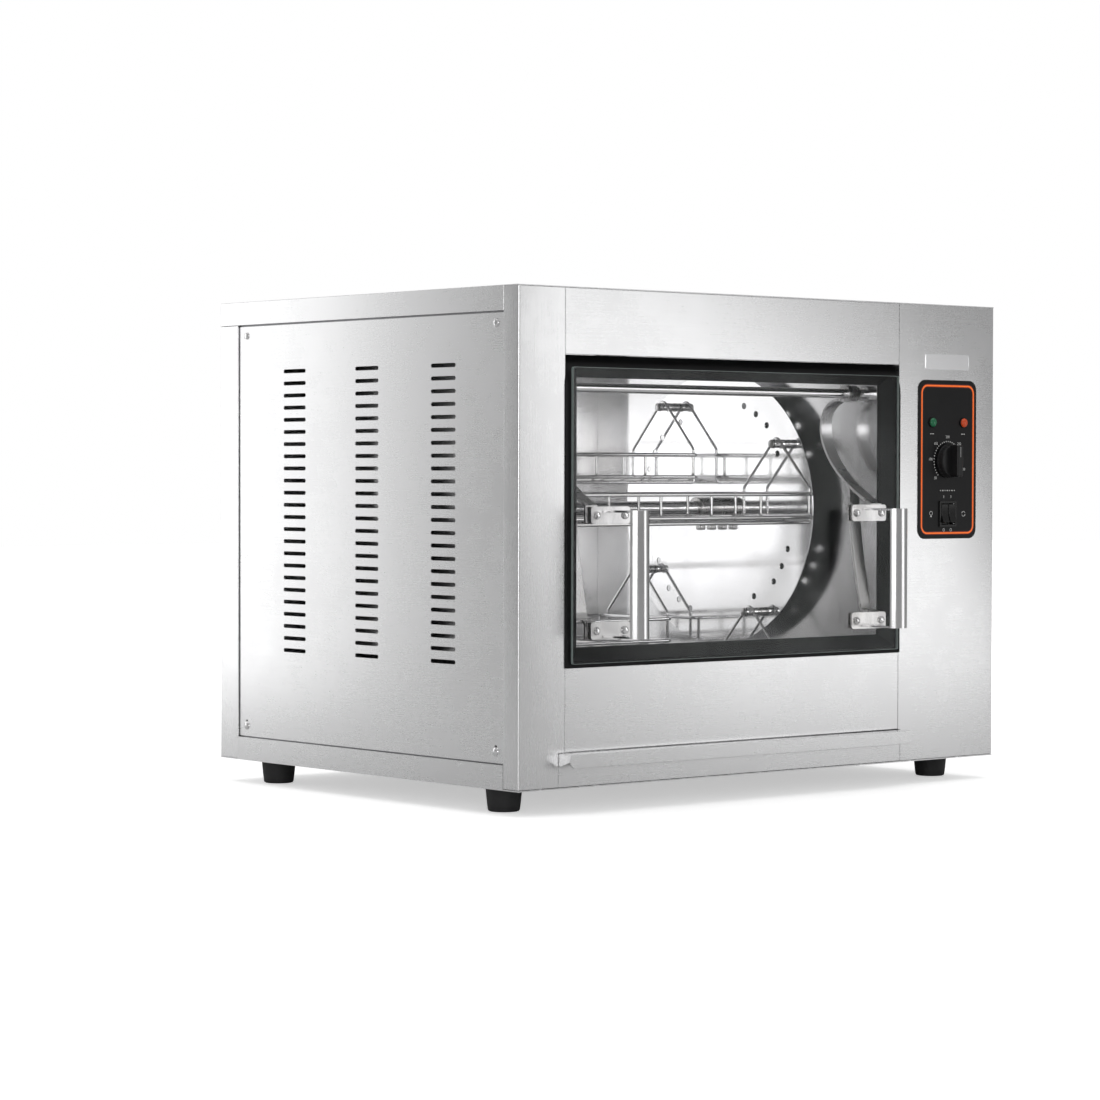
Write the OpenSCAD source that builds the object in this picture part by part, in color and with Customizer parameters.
// Countertop rotisserie oven: sheet steel cabinet, glass door on a hinge tube,
// a motor-driven rotor with four hanging wire baskets, and a pull-out drip tray.
// Frame: +X to the right, -Y to the front, +Z up, origin under the middle of the whole oven.

/* [Overall] */
// Width of the cabinet
body_w = 820; // [810:1:840]
// Depth over the door handles
total_d = 686; // [680:1:700]
// Height from the table to the top cover
total_h = 627; // [625:1:640]
// Height of the feet
foot_h = 30; // [20:1:34]
// How far the handles stand out of the front
handle_reach = 70; // [60:1:72]
// Thickness of the cabinet sheet
sheet_t = 1.5; // [1:0.1:2]

/* [Front] */
// Width of the left front post
post_w = 72; // [70:1:80]
// Width of the control fascia
control_w = 180; // [176:1:190]
// Height of the window's lower edge
sill_z = 173.5; // [170:0.5:176]
// Height of the window's upper edge
head_z = 546.5; // [546:0.5:550]
// Height of the top edge of the drip tray's front
tray_top = 73; // [72:0.5:76]
// How far the drip tray's lip stands out
lip_reach = 22; // [14:1:26]
// Height of the lip's turned-down edge
lip_drop = 17; // [10:1:20]

/* [Door] */
// Depth of the hinge tube's axis behind the front
hinge_y = 50; // [49:0.5:51]
// Height of the hinge tube's axis
hinge_z = 509; // [508:0.5:510]
// Radius of the hinge tube
hinge_r = 6; // [5:0.5:8]
// Thickness of the glass
glass_t = 4; // [3:0.5:5]
// Gap between the glass and the edge of the window
glass_gap = 7; // [5:1:10]
// Height of a handle bar
handle_h = 152; // [140:1:160]
// Width of a handle bar
handle_w = 30; // [24:1:34]
// Distance of each handle from the middle of the window
handle_x = 220; // [200:1:230]

/* [Rotor] */
// Depth of the rotor's axis behind the front
rotor_y = 306; // [300:1:310]
// Height of the rotor's axis
rotor_z = 358; // [354:1:360]
// Radius of the rotor discs
disc_r = 185; // [180:1:190]
// Distance between the inner faces of the discs
disc_gap = 493; // [480:1:496]
// Radius of the circle of basket pins
pin_circle_r = 163; // [158:1:164]
// Angle of the first basket above straight forward
first_angle = 32; // [20:1:40]
// Radius of the rotor shaft
shaft_r = 10; // [8:0.5:12]

/* [Baskets] */
// Length of a basket
basket_l = 450; // [420:1:452]
// Width of a basket
basket_w = 148; // [130:1:150]
// Distance from the pin down to the basket's top rail
basket_drop = 66; // [60:1:70]
// Height of a basket's sides
basket_h = 37; // [30:1:38]
// Radius of the long wires
rail_r = 2.5; // [2:0.1:3]
// Radius of the cross wires
wire_r = 2; // [1.5:0.1:2.4]

/* [Side vents] */
// Rows of slots in a column
slot_rows = 24; // [10:1:24]
// Columns of slots
slot_cols = 3; // [1:1:3]
// Length of a slot
slot_l = 48; // [30:1:60]
// Height of a slot
slot_h = 5; // [3:0.5:6]

/* [Controls] */
// Diameter of the temperature knob
knob_d = 45; // [36:1:48]
// Travel of a rocker to each side in degrees
rocker_tilt = 8; // [4:1:9]

/* [Hidden] */
$fn = 48;
eps = 0.01;      // how far a cut runs past a face
fit = 0.05;      // radial running clearance
snug = 0.02;     // radial clearance of pieces that stay together

left_x = -body_w / 2;
right_x = body_w / 2;
front_y = handle_reach - total_d / 2;
body_d = total_d - handle_reach;
cover_z = total_h - sheet_t;          // underside of the top cover
panel_z = foot_h + sheet_t + 0.5;     // lower edge of the front panels
rail_z = total_h - foot_h;            // lower edge of the side rails
kick_z = 60;                          // upper edge of the base pan's sides
post_return = 28;                     // depth of the front posts
rear_post_d = 40;
tray_side = [10, 4];                  // how far the tray's front runs under the two posts

win_x = [left_x + post_w, right_x - control_w];
mid_x = (win_x[0] + win_x[1]) / 2;
seam = 0.4;

cav_x = [mid_x - 276.5, mid_x + 276];
cav_y = [16, 588];
cav_z = [84, 568];

glass_y = [-6.5, glass_t - 6.5];
glass_x = [win_x[0] + glass_gap, win_x[1] - glass_gap];
glass_z = [sill_z + 4.5, head_z - 15];
swing_r = hinge_y - glass_y[1] - 0.3; // the frame stays inside this radius about the hinge
pocket_y = 65;                        // depth of the space that the glass swings into

plate_w = 62;                         // handle and clamp plates
plate_h = 21;
plate_t = 2.5;
plate_z = [217, 355];
screw_dx = 22.5;
arm_w = 20;
arm_t = 3.5;

disc_x = [mid_x - disc_gap / 2, mid_x + disc_gap / 2];
pin_r = 3;
sleeve_r = 6;
sleeve_l = 19;
journal_r = 8;
heater_x = [mid_x - 210, mid_x + 150]; // from the middle of the bends to the ends
heater_y = 575;
heater_z = [190, 270, 370, 450];

side_screw_y = [44, body_d - 57];
side_screw_z = [81, 583];
panel_screw_r = 2;
side_in = 2.2;                        // the side panels lie this far inside the cabinet's side
bend_r = 2.4;                         // outer radius of the front posts' long bends

ctrl_x = right_x - 90;                // centre line of the controls
ctrl_plate = [110, 208, 424];         // width, height and centre height of the control plate
knob_z = 422;
lamp_z = 472.5;
lamp_dx = 29.5;
switch_z = 352.5;
rocker_dx = 6.8;

// ---------- small shapes ----------

// A box from ranges in X, depth behind the front, and Z
module block(x, y, z) {
    translate([x[0], front_y + y[0], z[0]])
        cube([x[1] - x[0], y[1] - y[0], z[1] - z[0]]);
}

// Round bars along X, Y and Z
module rod_x(x, y, z, r) {
    translate([x[0], front_y + y, z]) rotate([0, 90, 0]) cylinder(r = r, h = x[1] - x[0]);
}

module rod_y(x, y, z, r) {
    translate([x, front_y + y[1], z]) rotate([90, 0, 0]) cylinder(r = r, h = y[1] - y[0]);
}

module rod_z(x, y, z, r) {
    translate([x, front_y + y, z[0]]) cylinder(r = r, h = z[1] - z[0]);
}

// A flat piece in the YZ plane (depth, height), given its range in X
module side_plate(x) {
    translate([x[0], front_y, 0]) rotate([90, 0, 90]) linear_extrude(x[1] - x[0]) children();
}

// A mirror copy about the middle plane of the cabinet
module both_sides() {
    children();
    mirror([1, 0, 0]) children();
}

// A straight wire in the YZ plane at x, from p to q, each [y, z]
module wire_yz(x, p, q, r) {
    v = q - p;
    translate([x, front_y + p[0], p[1]]) rotate([atan2(-v[0], v[1]), 0, 0])
        cylinder(r = r, h = norm(v));
}

// Points of a cubic curve, and the outline of a strip of even thickness along a path
function curve(a, b, c, d, n) = [for (i = [0:n]) let (t = i / n)
    pow(1 - t, 3) * a + 3 * pow(1 - t, 2) * t * b + 3 * (1 - t) * t * t * c + pow(t, 3) * d];
function across(path, i) = let (
    v = path[min(i + 1, len(path) - 1)] - path[max(i - 1, 0)]) [-v[1], v[0]] / norm(v);
function strip(path, t) = concat(
    [for (i = [0:len(path) - 1]) path[i] + across(path, i) * t / 2],
    [for (i = [len(path) - 1:-1:0]) path[i] - across(path, i) * t / 2]);

// A point on the rotor at an angle above straight forward, as [depth, height]
function on_rotor(angle, r) = [rotor_y - r * cos(angle), rotor_z + r * sin(angle)];

// The space that the top edge of the glass swings through
module swing_pocket() {
    difference() {
        block([win_x[0] - 2, win_x[1] + 2], [-10, pocket_y], [hinge_z, cover_z - 20]);
        rod_x([win_x[0] - 3, win_x[1] + 3], hinge_y, hinge_z, swing_r);
    }
}

// ---------- cabinet ----------

module base_pan() {
    notch_w = 7;
    notch_n = 9;
    color("silver") difference() {
        union() {
            block([left_x, right_x], [0, body_d], [foot_h, foot_h + sheet_t]);
            for (x = [left_x, right_x - sheet_t])
                block([x, x + sheet_t], [post_return + seam, body_d - rear_post_d - seam],
                    [foot_h, kick_z]);
            block([left_x + 36, right_x - 36], [body_d - sheet_t, body_d], [foot_h, kick_z]);
        }
        for (i = [0:notch_n - 1])
            block([left_x + 30 + i * 90, left_x + 30 + i * 90 + notch_w], [-1, 2.5],
                [foot_h - 1, foot_h + sheet_t + 1]);
        for (x = [-1, 1], y = [75, body_d - 75])
            rod_z(x * (right_x - 40), y, [foot_h - 1, foot_h + sheet_t + 1], 3.1);
    }
}

module feet() {
    color([0.06, 0.06, 0.06]) for (x = [-1, 1], y = [75, body_d - 75])
        translate([x * (right_x - 40), front_y + y, 0]) {
            cylinder(r1 = 19, r2 = 23, h = foot_h);
            translate([0, 0, foot_h - eps]) cylinder(r = 3, h = 12);
        }
}

// The long bend at the left front corner, where the face turns into the post's return
module bent_corner() {
    translate([left_x + bend_r, front_y + bend_r, panel_z]) difference() {
        cylinder(r = bend_r, h = cover_z - panel_z);
        translate([0, 0, -1]) cylinder(r = bend_r - sheet_t, h = cover_z - panel_z + 2);
        translate([0, -2 * bend_r, -1]) cube([2 * bend_r, 4 * bend_r, cover_z - panel_z + 2]);
        translate([-2 * bend_r, 0, -1]) cube([4 * bend_r, 2 * bend_r, cover_z - panel_z + 2]);
    }
}

module left_front_post() {
    color("gainsboro") difference() {
        union() {
            bent_corner();
            block([left_x + bend_r, win_x[0]], [0, sheet_t], [panel_z, cover_z]);
            block([left_x, left_x + sheet_t], [bend_r, post_return], [panel_z, cover_z]);
            block([win_x[0] - sheet_t, win_x[0]], [0, cav_y[0]], [tray_top, cover_z]);
        }
        block([win_x[0] - tray_side[0], win_x[0] + 1], [-1, sheet_t + 1], [panel_z - 1, tray_top]);
    }
}

module control_fascia() {
    color("gainsboro") difference() {
        union() {
            mirror([1, 0, 0]) bent_corner();
            block([win_x[1], right_x - bend_r], [0, sheet_t], [panel_z, cover_z]);
            block([right_x - sheet_t, right_x], [bend_r, post_return], [panel_z, cover_z]);
            block([win_x[1], win_x[1] + sheet_t], [0, cav_y[0]], [tray_top, cover_z]);
        }
        block([win_x[1] - 1, win_x[1] + tray_side[1]], [-1, sheet_t + 1], [panel_z - 1, tray_top]);
        rod_y(ctrl_x, [-1, sheet_t + 1], knob_z, 5);
        for (s = [-1, 1]) rod_y(ctrl_x + s * lamp_dx, [-1, sheet_t + 1], lamp_z, 4.5);
        block([ctrl_x - 14, ctrl_x + 14], [-1, sheet_t + 1], [switch_z - 14, switch_z + 14]);
    }
}

module top_fascia() {
    color("gainsboro") {
        block([win_x[0] + seam, win_x[1] - seam], [0, sheet_t], [head_z, cover_z]);
        block([win_x[0] + seam, win_x[1] - seam], [0, 16], [cover_z - sheet_t, cover_z]);
    }
}

module lower_fascia() {
    color("gainsboro") {
        block([win_x[0] + seam, win_x[1] - seam], [0, sheet_t], [tray_top + 0.5, sill_z]);
        block([win_x[0] + seam, win_x[1] - seam], [0, cav_y[0]], [sill_z - sheet_t, sill_z]);
        block([win_x[0] + seam, win_x[1] - seam], [0, 12], [tray_top + 0.5, tray_top + 0.5 + sheet_t]);
    }
}

module top_cover() {
    color("gainsboro") {
        block([left_x, right_x], [0, body_d], [cover_z, total_h]);
        for (x = [left_x, right_x - sheet_t])
            block([x, x + sheet_t], [post_return + seam, body_d], [rail_z, total_h]);
        block([left_x, right_x], [body_d - sheet_t, body_d], [rail_z, total_h]);
    }
}

module rear_posts() {
    post_z = [foot_h + sheet_t, rail_z - seam];
    color("silver") both_sides() {
        block([left_x, left_x + sheet_t], [body_d - rear_post_d, body_d], post_z);
        block([left_x, left_x + 34], [body_d - sheet_t, body_d], post_z);
    }
}

module side_frames() {
    x = left_x + side_in + sheet_t + 0.1;
    color("darkgray") both_sides() difference() {
        block([x, x + sheet_t], [22, body_d - 12], [50, 607]);
        block([x - 1, x + sheet_t + 1], [64, body_d - 77], [95, 565]);
        for (y = side_screw_y, z = side_screw_z)
            rod_x([x - 1, x + sheet_t + 1], y, z, panel_screw_r + snug);
    }
}

// A side panel with its columns of rounded slots, drawn for the left side
module slotted_side() {
    pitch_z = (535 - 177.5) / 23;
    x = [left_x + side_in, left_x + side_in + sheet_t];
    through = x + [-1, 1];
    difference() {
        block(x, [24, body_d - 36], [kick_z + 1.6, rail_z - 2.2]);
        for (c = [0:slot_cols - 1], i = [0:slot_rows - 1]) {
            y = 299 + (c - 1) * 153.5;
            z = 177.5 + i * pitch_z;
            block(through, [y - slot_l / 2 + slot_h / 2, y + slot_l / 2 - slot_h / 2],
                [z - slot_h / 2, z + slot_h / 2]);
            for (s = [-1, 1])
                rod_x(through, y + s * (slot_l - slot_h) / 2, z, slot_h / 2, $fn = 24);
        }
        for (y = side_screw_y, z = side_screw_z) rod_x(through, y, z, panel_screw_r + snug);
    }
}

module left_side_panel() {
    color("silver") slotted_side();
}

module right_side_panel() {
    color("silver") mirror([1, 0, 0]) slotted_side();
}

back_slot_x = [-250, -150, -50, 50, 150, 250];
gland_x = right_x - 90;
gland_z = 110;

module back_panel() {
    y = body_d - 4.6;
    color("silver") difference() {
        block([left_x + 28, right_x - 28], [y, y + sheet_t], [50, rail_z + 8]);
        for (x = back_slot_x, i = [0:7])
            block([x - 30, x + 30], [y - 1, y + 3], [440 + i * 14, 445 + i * 14]);
        rod_y(gland_x, [y - 1, y + 3], gland_z, 11);
        for (x = [left_x + 60, 0, right_x - 60], z = [75, 583])
            rod_y(x, [y - 1, y + 3], z, panel_screw_r + snug);
    }
}

module panel_screws() {
    color([0.55, 0.55, 0.55]) {
        both_sides() for (y = side_screw_y, z = side_screw_z) {
            rod_x([left_x + side_in - 1.8, left_x + side_in], y, z, 4.5);
            rod_x([left_x + side_in - 0.1, left_x + 14], y, z, panel_screw_r);
        }
        for (x = [left_x + 60, 0, right_x - 60], z = [75, 583]) {
            rod_y(x, [body_d - 3.1, body_d - 1.3], z, 4.5);
            rod_y(x, [body_d - 12, body_d - 3], z, panel_screw_r);
        }
    }
}

// Black frame around the window, with mitred faces that slope in to the opening
module window_frame() {
    y = [glass_y[1] + 0.3, 14];
    edge = 8;        // flat outer edge
    border = 27;     // whole width of the frame
    low_border = 23.5;
    hole_x = [win_x[0] + border, win_x[1] - border];
    hole_z = [sill_z + low_border, head_z - border];
    color([0.05, 0.05, 0.05]) difference() {
        block(win_x, y, [sill_z, head_z]);
        block(hole_x, [y[0] - 1, y[1] + 1], hole_z);
        intersection() {
            translate([0, front_y, sill_z]) linear_extrude(head_z - sill_z)
                polygon([[win_x[0] + edge, y[0] - eps], [win_x[1] - edge, y[0] - eps],
                    [hole_x[1], 11], [hole_x[0], 11]]);
            side_plate(win_x)
                polygon([[y[0] - eps, sill_z + edge], [y[0] - eps, head_z - edge],
                    [11, hole_z[1]], [11, hole_z[0]]]);
        }
        swing_pocket();
    }
}

// ---------- oven cavity ----------

module cavity_side(x) {
    difference() {
        block(x, cav_y, cav_z);
        rod_x([x[0] - 1, x[1] + 1], rotor_y, rotor_z, 14);
        rod_x([x[0] - 1, x[1] + 1], hinge_y, hinge_z, 9 + snug);
        swing_pocket();
        children();
    }
}

module cavity_left_wall() {
    color("lightgray") cavity_side([cav_x[0] - sheet_t, cav_x[0]]);
}

module cavity_right_wall() {
    color("lightgray") cavity_side([cav_x[1], cav_x[1] + sheet_t]);
}

module cavity_back_wall() {
    color("lightgray") difference() {
        block([cav_x[0] - sheet_t, cav_x[1] + sheet_t], [cav_y[1], cav_y[1] + sheet_t], cav_z);
        for (z = heater_z) rod_y(heater_x[1], [cav_y[1] - 1, cav_y[1] + 3], z, 5);
    }
}

lamp_box = [92, 68, 42];     // size of the lamp housing in X, Y and Z
lamp_y = 140;                // depth of its middle

module cavity_ceiling() {
    color("lightgray") difference() {
        block([cav_x[0] - sheet_t, cav_x[1] + sheet_t], [pocket_y, cav_y[1] + sheet_t],
            [cav_z[1], cav_z[1] + sheet_t]);
        block([mid_x - 40, mid_x + 40], [lamp_y - 28, lamp_y + 28], [cav_z[1] - 1, cav_z[1] + 3]);
    }
}

// Floor of the cavity, open in the middle so that fat drips into the tray
module cavity_floor() {
    rim = [[cav_x[0] + 34, cav_x[1] - 34], [44, cav_y[1] - 44]];
    color("lightgray") difference() {
        union() {
            block([cav_x[0] - sheet_t, cav_x[1] + sheet_t], [2, cav_y[1] + sheet_t],
                [cav_z[0] - sheet_t, cav_z[0]]);
            block([rim[0][0] - sheet_t, rim[0][1] + sheet_t], [rim[1][0] - sheet_t, rim[1][1] + sheet_t],
                [cav_z[0] - 8, cav_z[0]]);
        }
        block(rim[0], rim[1], [cav_z[0] - 9, cav_z[0] + 1]);
    }
}

module tray_runners() {
    color("darkgray") for (x = [cav_x[0] + 20, cav_x[1] - 50])
        block([x, x + 30], [6, cav_y[1] - 30], [foot_h + sheet_t, 33.6]);
}

// Two hairpin elements along the back wall, their ends turned back through it
module heating_elements() {
    r = 4;
    tail_y = cav_y[1] + 12;
    color([0.25, 0.23, 0.22]) for (p = [0, 2]) {
        gap = heater_z[p + 1] - heater_z[p];
        for (z = [heater_z[p], heater_z[p + 1]]) {
            rod_x([heater_x[0], heater_x[1]], heater_y, z, r);
            translate([heater_x[1], front_y + heater_y, z]) sphere(r = r + 0.2);
            rod_y(heater_x[1], [heater_y, tail_y], z, r);
            rod_y(heater_x[1], [tail_y - eps, tail_y + 7], z, 2);
        }
        translate([heater_x[0], front_y + heater_y, heater_z[p] + gap / 2]) rotate([90, 0, 0])
            rotate([0, 0, 90]) rotate_extrude(angle = 180) translate([gap / 2, 0]) circle(r = r);
    }
}

// Perforated strips on the back wall with a tab for each element
module heater_brackets() {
    color("silver") for (x = [heater_x[0] + 12, heater_x[1] - 60]) difference() {
        union() {
            block([x, x + 22], [cav_y[1] - 2, cav_y[1]], [120, 520]);
            for (z = heater_z) block([x + 10, x + 12], [heater_y - 9, cav_y[1] - 1], [z - 9, z + 9]);
        }
        for (z = heater_z) rod_x([x + 9, x + 13], heater_y, z, 4 + snug);
        for (z = [150, 502]) rod_y(x + 11, [cav_y[1] - 3, cav_y[1] + 1], z, 3);
        for (z = [320, 410, 475]) block([x + 9, x + 13], [cav_y[1] - 3, cav_y[1] + 1], [z - 8, z + 8]);
    }
}

module lamp_housing() {
    t = 1.2;
    x = [mid_x - lamp_box[0] / 2, mid_x + lamp_box[0] / 2];
    y = [lamp_y - lamp_box[1] / 2, lamp_y + lamp_box[1] / 2];
    z = [cav_z[1] + sheet_t, cav_z[1] + sheet_t + lamp_box[2]];
    color("silver") difference() {
        block(x, y, z);
        block(x + [t, -t], y + [t, -t], z - [1, t]);
        rod_x([x[1] - 3, x[1] + 1], lamp_y, z[0] + 22, 8 + snug);
    }
}

// A tubular oven lamp with a tapered tip, its socket through the side of the housing
module lamp_bulb() {
    z = cav_z[1] + sheet_t + 22;
    bulb_r = 9.6;
    color("white") {
        rod_x([mid_x + 22, mid_x + lamp_box[0] / 2 + 14], lamp_y, z, 8);
        rod_x([mid_x - 22, mid_x + 22 + eps], lamp_y, z, bulb_r);
        translate([mid_x - 22 + eps, front_y + lamp_y, z]) rotate([0, -90, 0])
            cylinder(r1 = bulb_r - 0.4, r2 = 4, h = 8);
    }
}

module lamp_glass() {
    color([0.9, 0.95, 1, 0.4]) block([mid_x - 44, mid_x + 44], [lamp_y - 32, lamp_y + 32],
        [cav_z[1] - 3, cav_z[1]]);
}

// ---------- rotor drive ----------

module rotor_bearings() {
    color("darkgray") for (x = [[cav_x[0] - sheet_t - 16, cav_x[0] - sheet_t],
            [cav_x[1] + sheet_t, cav_x[1] + sheet_t + 16]]) difference() {
        union() {
            rod_x(x, rotor_y, rotor_z, 20);
            block(x, [rotor_y - 34, rotor_y + 34], [rotor_z - 12, rotor_z + 12]);
        }
        rod_x([x[0] - 1, x[1] + 1], rotor_y, rotor_z, journal_r + fit);
    }
}

module hinge_bearings() {
    color("lightgray") for (s = [0, 1]) {
        inner = s == 0 ? [cav_x[0], cav_x[0] + 7] : [cav_x[1] - 7, cav_x[1]];
        through = s == 0 ? [cav_x[0] - 8, cav_x[0] + 1] : [cav_x[1] - 1, cav_x[1] + 8];
        difference() {
            union() {
                rod_x(inner, hinge_y, hinge_z, 11);
                rod_x(through, hinge_y, hinge_z, 9);
            }
            rod_x([cav_x[0] - 9, cav_x[1] + 9], hinge_y, hinge_z, hinge_r + fit);
        }
    }
}

coupling_x = [cav_x[1] + 20, cav_x[1] + 58];
gearbox_x = [cav_x[1] + 66, cav_x[1] + 108];

module gear_motor() {
    color([0.35, 0.37, 0.4]) difference() {
        union() {
            block(gearbox_x, [rotor_y - 38, rotor_y + 38], [rotor_z - 50, rotor_z + 38]);
            rod_x([gearbox_x[1] - 1, gearbox_x[1] + 46], rotor_y, rotor_z - 16, 31);
        }
        rod_x([gearbox_x[0] - 1, gearbox_x[0] + 20], rotor_y, rotor_z, 6 + fit);
    }
}

module motor_bracket() {
    color("silver") {
        difference() {
            block([gearbox_x[0] - 3, gearbox_x[0]], [rotor_y - 60, rotor_y + 60],
                [rotor_z - 60, rotor_z + 60]);
            rod_x([gearbox_x[0] - 4, gearbox_x[0] + 1], rotor_y, rotor_z, 16);
        }
        for (y = [-50, 50], z = [-50, 50])
            rod_x([cav_x[1] + sheet_t, gearbox_x[0] - 2], rotor_y + y, rotor_z + z, 5);
    }
}

module drive_coupling() {
    mid = (coupling_x[0] + coupling_x[1]) / 2;
    color("gray") {
        difference() {
            rod_x(coupling_x, rotor_y, rotor_z, 14);
            rod_x([coupling_x[0] - 1, mid], rotor_y, rotor_z, journal_r + snug);
        }
        rod_x([coupling_x[1] - 5, gearbox_x[0] + 19], rotor_y, rotor_z, 6);
    }
}

module rotor_shaft() {
    mid = (coupling_x[0] + coupling_x[1]) / 2;
    color("silver") {
        rod_x([disc_x[0] - 20, disc_x[1] + 20], rotor_y, rotor_z, shaft_r);
        rod_x([cav_x[0] - sheet_t - 18, disc_x[0] - 19], rotor_y, rotor_z, journal_r);
        rod_x([disc_x[1] + 19, mid - 0.5], rotor_y, rotor_z, journal_r);
    }
}

// A polished disc: shaft hole, pin holes, and the spare holes beside each pin
module disc(x) {
    difference() {
        rod_x(x, rotor_y, rotor_z, disc_r, $fn = 96);
        rod_x([x[0] - 1, x[1] + 1], rotor_y, rotor_z, shaft_r + snug);
        for (k = [0:3]) {
            a = first_angle + 90 * k;
            p = on_rotor(a, pin_circle_r);
            rod_x([x[0] - 1, x[1] + 1], p[0], p[1], pin_r + snug);
            q = on_rotor(a, 139);
            rod_x([x[0] - 1, x[1] + 1], q[0], q[1], 4.2);
            for (b = [17, 27, 37]) {
                s = on_rotor(a + b, 148);
                rod_x([x[0] - 1, x[1] + 1], s[0], s[1], 4.2);
            }
        }
    }
}

module left_disc() {
    color([0.86, 0.86, 0.88]) disc([disc_x[0] - sheet_t, disc_x[0]]);
}

module right_disc() {
    color([0.86, 0.86, 0.88]) disc([disc_x[1], disc_x[1] + sheet_t]);
}

hub_l = 40;
hub_r = 15;

module disc_hubs() {
    color("darkgray") for (x = [[disc_x[0], disc_x[0] + hub_l], [disc_x[1] - hub_l, disc_x[1]]])
        difference() {
            rod_x(x, rotor_y, rotor_z, hub_r);
            rod_x([x[0] - 1, x[1] + 1], rotor_y, rotor_z, shaft_r + snug);
            for (s = [10, 30])
                rod_z(x[0] + s, rotor_y, [rotor_z - hub_r - 1, rotor_z - shaft_r + 1], 2.5 + snug);
        }
}

module hub_screws() {
    color("gray") for (x = [disc_x[0], disc_x[1] - hub_l], s = [10, 30]) {
        rod_z(x + s, rotor_y, [rotor_z - hub_r - 8, rotor_z - shaft_r - 0.1], 2.5);
        rod_z(x + s, rotor_y, [rotor_z - hub_r - 15, rotor_z - hub_r - 7], 6.5);
    }
}

// Pins that carry the baskets: a collar by the disc, the bare pin, and an end cap
module basket_pin(inner, s) {
    function along(a, b) = s > 0 ? [inner + a, inner + b] : [inner - b, inner - a];
    rod_x(along(-6.5, 33), 0, 0, pin_r);
    rod_x(along(0, 10), 0, 0, sleeve_r);
    rod_x(along(30.5, 33), 0, 0, sleeve_r - 0.5);
    rod_x(along(-6, -1.5), 0, 0, 5.5, $fn = 6);
}

module basket_pins() {
    color("gray") for (k = [0:3]) {
        p = on_rotor(first_angle + 90 * k, pin_circle_r);
        translate([0, p[0], p[1]]) {
            basket_pin(disc_x[0], 1);
            basket_pin(disc_x[1], -1);
        }
    }
}

// ---------- baskets ----------

// The grid of the floor, one side, and one end with its hanger, about the pin's axis
module basket_floor(xs, half) {
    z = -basket_drop - basket_h;
    for (y = [-0.42, -0.14, 0.14, 0.42])
        rod_x([mid_x - half + 4, mid_x + half - 4], y * basket_w, z, rail_r);
    for (x = xs) rod_y(x, [-basket_w / 2 + 6, basket_w / 2 - 6], z + 1.2, wire_r);
}

module basket_side(xs, half, s) {
    y = s * basket_w / 2;
    for (z = [-basket_drop, -basket_drop - basket_h + 7])
        rod_x([mid_x - half + 4, mid_x + half - 4], y, z, rail_r);
    for (x = xs)
        rod_z(x, y - s * 1.2, [-basket_drop - basket_h + 5, -basket_drop + 1], wire_r);
}

module basket_end(s, half) {
    x = mid_x + s * half;
    spread = basket_w / 2 - 12;
    low = -basket_drop - basket_h;
    difference() {
        union() {
            rod_x([x - sleeve_l / 2 + s * 1.25, x + sleeve_l / 2 + s * 1.25], 0, 0, sleeve_r);
            for (t = [-1, 1]) {
                wire_yz(x, [t * 2.6, -4.3], [t * spread, -basket_drop + 8], wire_r);
                rod_z(x + 0.3, t * spread, [low + 3, -basket_drop + 8], wire_r - 0.15);
                translate([x, front_y + t * spread, -basket_drop + 8]) sphere(r = wire_r + 0.6);
            }
            for (z = [-basket_drop, low + 6])
                rod_y(x + s * 0.8, [-basket_w / 2 + 4.5, basket_w / 2 - 4.5], z, wire_r + 0.3);
        }
        rod_x([x - 30, x + 30], 0, 0, pin_r + fit);
    }
}

module basket(k) {
    half = basket_l / 2;
    p = on_rotor(first_angle + 90 * (k - 1), pin_circle_r);
    xs = [for (i = [0:5]) mid_x - half + 8 + i * (basket_l - 16) / 5];
    color([0.75, 0.75, 0.78]) translate([0, p[0], p[1]]) {
        basket_floor(xs, half);
        for (s = [-1, 1]) {
            basket_side(xs, half, s);
            basket_end(s, half);
        }
    }
}

module basket_1() { basket(1); }
module basket_2() { basket(2); }
module basket_3() { basket(3); }
module basket_4() { basket(4); }

// ---------- door ----------

screw_x = [for (s = [-1, 1], t = [-1, 1]) mid_x + s * handle_x + t * screw_dx];
arm_x = [mid_x - handle_x - screw_dx, mid_x + handle_x + screw_dx];

module door_holes(y, r) {
    for (x = screw_x, z = plate_z) rod_y(x, y, z, r);
}

module door_glass() {
    color([0.75, 0.85, 0.85, 0.3]) difference() {
        block(glass_x, glass_y, glass_z);
        door_holes([glass_y[0] - 1, glass_y[1] + 1], 2.5 + snug);
    }
}

module hinge_shaft() {
    color("silver") rod_x([cav_x[0] - 6, cav_x[1] + 6], hinge_y, hinge_z, hinge_r);
}

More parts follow.
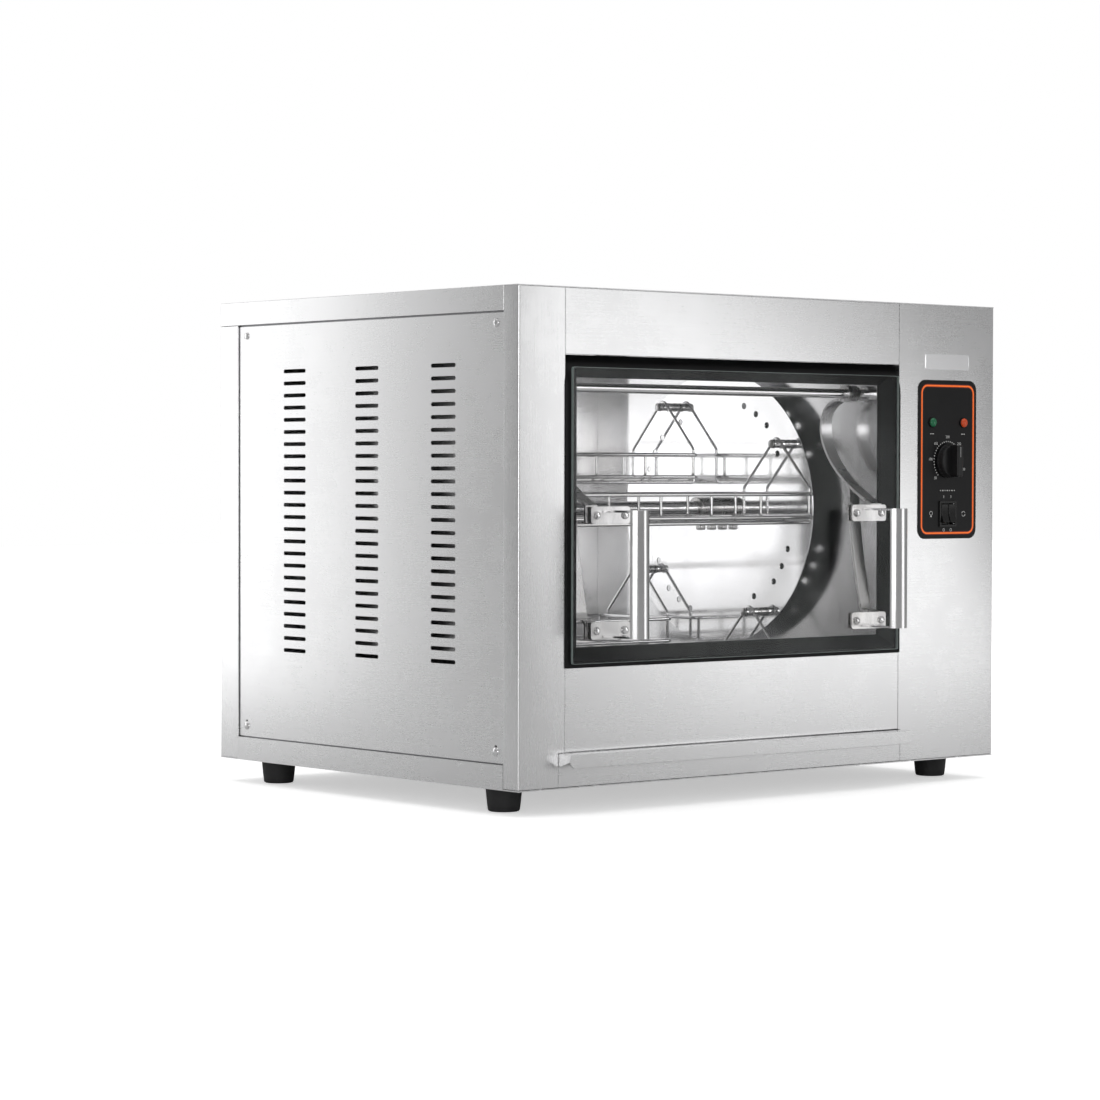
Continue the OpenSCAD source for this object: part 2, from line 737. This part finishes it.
// Goose-neck arms: from the tube back and down, then forward to the upper plate, with a
// second strip that runs down from the first and bends forward to the lower plate
module door_arms() {
    face = glass_y[1] + plate_t + arm_t / 2 + snug;
    neck = concat(curve([hinge_y + 8, hinge_z - 8], [105, 503], [121, 425], [face, plate_z[1] + 11], 22),
        [[face, plate_z[1] - 9]]);
    stay = concat(curve([41.5, 389.5], [43, 345], [27, 265], [21, 239], 14),
        curve([20, 234], [17.5, 223], [3, 234], [face, plate_z[0] + 5], 6),
        [[face, plate_z[0] - plate_h / 2]]);
    color("silver") for (x = arm_x) difference() {
        union() {
            rod_x([x - arm_w / 2, x + arm_w / 2], hinge_y, hinge_z, 11);
            side_plate([x - arm_w / 2 + 0.5, x + arm_w / 2 - 0.5]) polygon(strip(neck, arm_t));
            side_plate([x - arm_w / 2 + 1, x + arm_w / 2 - 1]) polygon(strip(stay, arm_t));
        }
        rod_x([x - arm_w, x + arm_w], hinge_y, hinge_z, hinge_r + snug);
        for (z = plate_z) rod_y(x, [-5, 30], z, 2.5 + snug);
    }
}

module clamp_plates() {
    y = [glass_y[1], glass_y[1] + plate_t];
    color("silver") difference() {
        for (s = [-1, 1], z = plate_z) block([mid_x + s * handle_x - plate_w / 2,
            mid_x + s * handle_x + plate_w / 2], y, [z - plate_h / 2, z + plate_h / 2]);
        door_holes([y[0] - 1, y[1] + 1], 2.5 + snug);
    }
}

// Screws through plate, glass and clamp plate, the outer ones through an arm too
module door_screws() {
    head = glass_y[0] - plate_t;
    color("gray") for (s = [-1, 1], t = [-1, 1], z = plate_z) {
        x = mid_x + s * handle_x + t * screw_dx;
        nut = glass_y[1] + plate_t + (s == t ? arm_t + 2 * snug : 0);
        rod_y(x, [head, nut + 6], z, 2.5);
        rod_y(x, [head - 3, head + eps], z, 5);
        rod_y(x, [nut, nut + 4], z, 4.6, $fn = 6);
    }
}

// A handle: two plates on the glass, two thin arms, and a bar with a rounded front
module handle(x) {
    back = glass_y[0];
    bar_y = -handle_reach;
    bar_d = 9;
    bar_z = [plate_z[0] - 8, plate_z[0] - 8 + handle_h];
    round_r = (pow(handle_w / 2, 2) + bar_d * bar_d) / (2 * bar_d);
    color("silver") difference() {
        union() {
            intersection() {
                rod_z(x, bar_y + round_r, bar_z, round_r);
                block([x - 50, x + 50], [bar_y - 1, bar_y + bar_d], [0, total_h]);
            }
            for (z = [bar_z[0], bar_z[1] - plate_t])
                block([x - handle_w / 2 + 2, x + handle_w / 2 - 2], [bar_y + 5, back - 1],
                    [z, z + plate_t]);
            for (z = plate_z) block([x - plate_w / 2, x + plate_w / 2], [back - plate_t, back],
                [z - plate_h / 2, z + plate_h / 2]);
        }
        for (z = plate_z, s = [-1, 1]) rod_y(x + s * screw_dx, [back - 5, back + 1], z, 2.5 + snug);
    }
}

module left_handle() { handle(mid_x - handle_x); }
module right_handle() { handle(mid_x + handle_x); }

// ---------- drip tray ----------

module drip_tray() {
    front_x = [win_x[0] - tray_side[0] + seam, win_x[1] + tray_side[1] - seam];
    pan_x = [cav_x[0] + 8, cav_x[1] - 8];
    pan_y = [sheet_t - eps, cav_y[1] - 40];
    floor_z = 34;
    rim_z = 66;
    wall = 1.2;
    lip_r = 8;
    color("gainsboro") {
        difference() {
            block(pan_x, pan_y, [floor_z, rim_z]);
            block(pan_x + [wall, -wall], pan_y + [wall, -wall], [floor_z + wall, rim_z + 1]);
        }
        block(front_x, [0, sheet_t], [panel_z, tray_top - seam]);
        block(front_x, [-lip_reach, eps], [tray_top - seam - sheet_t, tray_top - seam]);
        translate([0, front_y - lip_reach + sheet_t, 0]) rotate([90, 0, 0]) linear_extrude(sheet_t) {
            translate([front_x[0], tray_top - seam - lip_drop + lip_r])
                square([front_x[1] - front_x[0], lip_drop - lip_r]);
            translate([front_x[0] + lip_r, tray_top - seam - lip_drop])
                square([front_x[1] - front_x[0] - 2 * lip_r, lip_drop]);
            for (x = [front_x[0] + lip_r, front_x[1] - lip_r])
                translate([x, tray_top - seam - lip_drop + lip_r]) circle(r = lip_r);
        }
    }
}

// ---------- controls ----------

module control_plate() {
    r = 13;
    w = ctrl_plate[0];
    h = ctrl_plate[1];
    z0 = ctrl_plate[2] - h / 2;
    color([0.04, 0.04, 0.04]) difference() {
        union() {
            block([ctrl_x - w / 2 + r, ctrl_x + w / 2 - r], [-1.2, 0], [z0, z0 + h]);
            block([ctrl_x - w / 2, ctrl_x + w / 2], [-1.2, 0], [z0 + r, z0 + h - r]);
            for (s = [-1, 1], z = [z0 + r, z0 + h - r]) rod_y(ctrl_x + s * (w / 2 - r), [-1.2, 0], z, r);
        }
        rod_y(ctrl_x, [-2, 1], knob_z, 5);
        for (s = [-1, 1]) rod_y(ctrl_x + s * lamp_dx, [-2, 1], lamp_z, 4.5);
        block([ctrl_x - 14, ctrl_x + 14], [-2, 1], [switch_z - 14, switch_z + 14]);
    }
}

module lamp(x) {
    rod_y(x, [-3.2, -1.2], lamp_z, 6.5);
    rod_y(x, [-1.3, 16], lamp_z, 4.4);
    intersection() {
        translate([x, front_y - 0.5, lamp_z]) sphere(r = 6);
        block([x - 8, x + 8], [-9, -3], [lamp_z - 8, lamp_z + 8]);
    }
}

module green_lamp() { color([0.1, 0.6, 0.3]) lamp(ctrl_x - lamp_dx); }
module orange_lamp() { color([0.95, 0.35, 0.1]) lamp(ctrl_x + lamp_dx); }

module thermostat() {
    color([0.8, 0.8, 0.75]) difference() {
        union() {
            rod_y(ctrl_x, [sheet_t, 9], knob_z, 12);
            rod_y(ctrl_x, [8, 46], knob_z, 24);
        }
        rod_y(ctrl_x, [0, 30], knob_z, 3 + fit);
    }
}

module knob() {
    bar_w = 11;
    color([0.03, 0.03, 0.03]) {
        difference() {
            rod_y(ctrl_x, [-12, -1.7], knob_z, knob_d / 2);
            rod_y(ctrl_x, [-4, -1], knob_z, knob_d / 2 - 4);
        }
        intersection() {
            rod_y(ctrl_x, [-25, -11], knob_z, knob_d / 2 - 0.5);
            block([ctrl_x - bar_w / 2, ctrl_x + bar_w / 2], [-25, -11], [knob_z - 40, knob_z + 40]);
        }
        rod_y(ctrl_x, [-8, 28], knob_z, 3);
    }
}

module switch_bezel() {
    color([0.03, 0.03, 0.03]) difference() {
        block([ctrl_x - 16, ctrl_x + 16], [-3.2, -1.2], [switch_z - 17, switch_z + 17]);
        for (s = [-1, 1]) block([ctrl_x + s * rocker_dx - 6.4, ctrl_x + s * rocker_dx + 6.4],
            [-4, 0], [switch_z - 14, switch_z + 14]);
    }
}

module switch_body() {
    color([0.1, 0.1, 0.1]) {
        block([ctrl_x - 13.6, ctrl_x + 13.6], [5, 28], [switch_z - 13.6, switch_z + 13.6]);
        for (s = [-1, 1], z = [-8, 8])
            block([ctrl_x + s * rocker_dx - 0.4, ctrl_x + s * rocker_dx + 0.4], [27, 38],
                [switch_z + z - 3, switch_z + z + 3]);
    }
}

// A rocker, at rest tilted to its off side about the pivot at depth 1
module rocker(x) {
    translate([x, front_y + 1, switch_z]) rotate([-rocker_tilt, 0, 0]) rotate([90, 0, 90])
        translate([0, 0, -5.8]) linear_extrude(11.6)
            polygon([[-6.5, 12], [-4.6, 0], [-6.5, -12], [0, -12], [2.4, 0], [0, 12]]);
}

module light_rocker() { color([0.05, 0.05, 0.05]) rocker(ctrl_x - rocker_dx); }
module rotate_rocker() { color([0.05, 0.05, 0.05]) rocker(ctrl_x + rocker_dx); }

module name_badge() {
    color([0.9, 0.9, 0.9]) block([ctrl_x - 41.5, ctrl_x + 41.5], [-0.8, 0], [542, 562]);
}

module terminal_block() {
    color([0.85, 0.85, 0.8]) difference() {
        block([cav_x[1] + 50, cav_x[1] + 130], [body_d - 40, body_d - 8], [150, 180]);
        for (i = [0:4]) rod_z(cav_x[1] + 62 + i * 14, body_d - 24, [170, 181], 3);
    }
}

module cord_gland() {
    color([0.08, 0.08, 0.08]) difference() {
        union() {
            rod_y(gland_x, [body_d - 16, body_d + eps - 3.1], gland_z, 10.9);
            rod_y(gland_x, [body_d - 3.1, body_d - 0.4], gland_z, 16);
        }
        rod_y(gland_x, [body_d - 17, body_d + 1], gland_z, 5);
    }
}

// ---------- drawing ----------

base_pan();
feet();
left_front_post();
control_fascia();
top_fascia();
lower_fascia();
top_cover();
rear_posts();
side_frames();
left_side_panel();
right_side_panel();
back_panel();
panel_screws();
window_frame();
cavity_left_wall();
cavity_right_wall();
cavity_back_wall();
cavity_ceiling();
cavity_floor();
tray_runners();
heating_elements();
heater_brackets();
lamp_housing();
lamp_bulb();
lamp_glass();
rotor_bearings();
hinge_bearings();
gear_motor();
motor_bracket();
control_plate();
green_lamp();
orange_lamp();
thermostat();
switch_bezel();
switch_body();
name_badge();
terminal_block();
cord_gland();
door_glass();
hinge_shaft();
door_arms();
clamp_plates();
door_screws();
left_handle();
right_handle();
drip_tray();
rotor_shaft();
left_disc();
right_disc();
disc_hubs();
hub_screws();
basket_pins();
drive_coupling();
basket_1();
basket_2();
basket_3();
basket_4();
knob();
light_rocker();
rotate_rocker();
